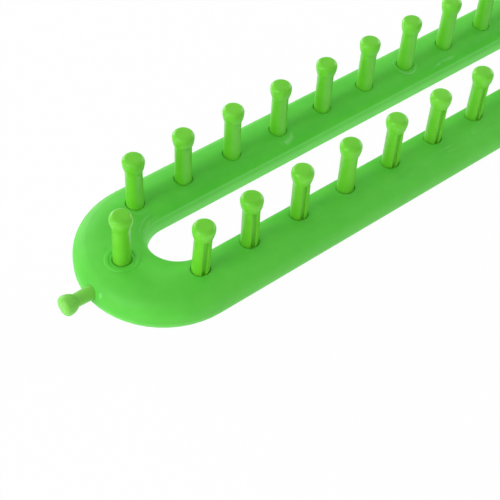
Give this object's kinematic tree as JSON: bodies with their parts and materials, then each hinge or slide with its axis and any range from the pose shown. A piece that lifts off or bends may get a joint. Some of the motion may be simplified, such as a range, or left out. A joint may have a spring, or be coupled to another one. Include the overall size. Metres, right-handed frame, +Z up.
{
  "type": "long knitting loom",
  "caption": "Long oval frame with a central slot and a row of grooved round-headed pegs along each rail, for knitting yarn loop by loop; an anchor peg stands out of each end.",
  "frame": {"origin": "middle of the underside, on the surface that the loom lies on", "axes": "+X along the loom, +Y across it from the front row of pegs to the back row, +Z up along the pegs"},
  "size_m": [0.455, 0.0488, 0.0246],
  "materials": {
    "frame_plastic": "satin moulded plastic, fresh green",
    "peg_plastic": "smooth moulded plastic, slightly yellower green"
  },
  "bodies": {
    "root": {"frame": "frame_plastic", "front_peg_01": "peg_plastic", "front_peg_02": "peg_plastic", "front_peg_03": "peg_plastic", "front_peg_04": "peg_plastic", "front_peg_05": "peg_plastic", "front_peg_06": "peg_plastic", "front_peg_07": "peg_plastic", "front_peg_08": "peg_plastic", "front_peg_09": "peg_plastic", "front_peg_10": "peg_plastic", "front_peg_11": "peg_plastic", "front_peg_12": "peg_plastic", "front_peg_13": "peg_plastic", "front_peg_14": "peg_plastic", "front_peg_15": "peg_plastic", "front_peg_16": "peg_plastic", "front_peg_17": "peg_plastic", "front_peg_18": "peg_plastic", "front_peg_19": "peg_plastic", "front_peg_20": "peg_plastic", "front_peg_21": "peg_plastic", "front_peg_22": "peg_plastic", "front_peg_23": "peg_plastic", "front_peg_24": "peg_plastic", "back_peg_01": "peg_plastic", "back_peg_02": "peg_plastic", "back_peg_03": "peg_plastic", "back_peg_04": "peg_plastic", "back_peg_05": "peg_plastic", "back_peg_06": "peg_plastic", "back_peg_07": "peg_plastic", "back_peg_08": "peg_plastic", "back_peg_09": "peg_plastic", "back_peg_10": "peg_plastic", "back_peg_11": "peg_plastic", "back_peg_12": "peg_plastic", "back_peg_13": "peg_plastic", "back_peg_14": "peg_plastic", "back_peg_15": "peg_plastic", "back_peg_16": "peg_plastic", "back_peg_17": "peg_plastic", "back_peg_18": "peg_plastic", "back_peg_19": "peg_plastic", "back_peg_20": "peg_plastic", "back_peg_21": "peg_plastic", "back_peg_22": "peg_plastic", "back_peg_23": "peg_plastic", "back_peg_24": "peg_plastic", "left_end_peg": "peg_plastic", "right_end_peg": "peg_plastic", "left_anchor_peg": "peg_plastic", "right_anchor_peg": "peg_plastic"}
  },
  "joints": []
}
